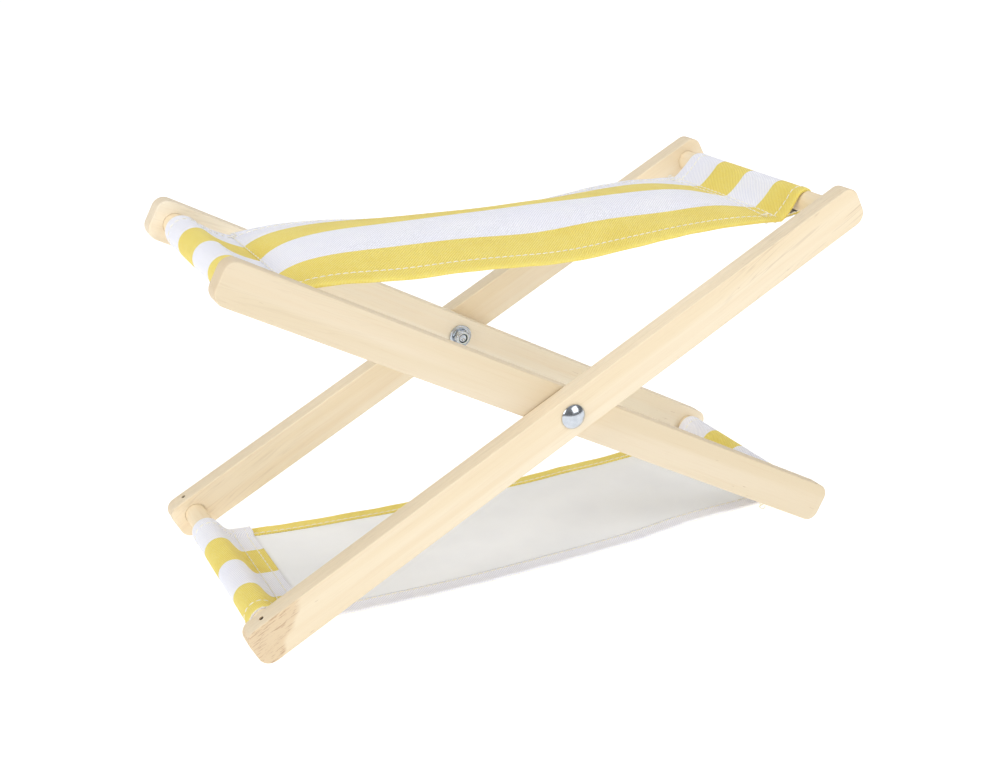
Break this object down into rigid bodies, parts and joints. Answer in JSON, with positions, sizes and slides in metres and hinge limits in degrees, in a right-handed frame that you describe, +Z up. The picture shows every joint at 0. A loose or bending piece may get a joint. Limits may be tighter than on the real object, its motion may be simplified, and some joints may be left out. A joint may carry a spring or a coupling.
{
  "type": "folding rest",
  "caption": "Small folding X-frame rest with flat wooden legs, round dowels, a striped canvas sling on top and a second canvas sling between the feet.",
  "frame": {"origin": "on the ground, midway between the four feet", "axes": "+X along the slings, +Y along the dowels and the fold axis, +Z up"},
  "size_m": [0.3184, 0.1544, 0.1806],
  "materials": {
    "pine_leg": "satin",
    "wood_dowel": "satin",
    "striped_canvas": "woven twill",
    "zinc_steel": "bright zinc",
    "brad_steel": "dull"
  },
  "bodies": {
    "outer_frame": {"outer_leg_front": "pine_leg", "outer_leg_back": "pine_leg", "outer_top_dowel": "wood_dowel", "outer_foot_dowel": "wood_dowel", "seat_sling": "striped_canvas", "base_sling": "striped_canvas", "pivot_bolt_front": "zinc_steel", "pivot_washer_front": "zinc_steel", "pivot_locknut_front": "zinc_steel", "pivot_bolt_back": "zinc_steel", "pivot_washer_back": "zinc_steel", "pivot_locknut_back": "zinc_steel", "brad_outer_top_front": "brad_steel", "brad_outer_top_back": "brad_steel", "brad_outer_foot_front": "brad_steel", "brad_outer_foot_back": "brad_steel"},
    "inner_frame": {"inner_leg_front": "pine_leg", "inner_leg_back": "pine_leg", "inner_top_dowel": "wood_dowel", "inner_foot_dowel": "wood_dowel", "brad_inner_top_front": "brad_steel", "brad_inner_top_back": "brad_steel", "brad_inner_foot_front": "brad_steel", "brad_inner_foot_back": "brad_steel"}
  },
  "joints": [
    {"name": "fold", "type": "hinge", "parent": "outer_frame", "child": "inner_frame", "pos_m": [0, 0, 0.09031], "axis": [0, 1, 0], "range_deg": [0, 117], "deforming": ["seat_sling", "base_sling"]}
  ]
}
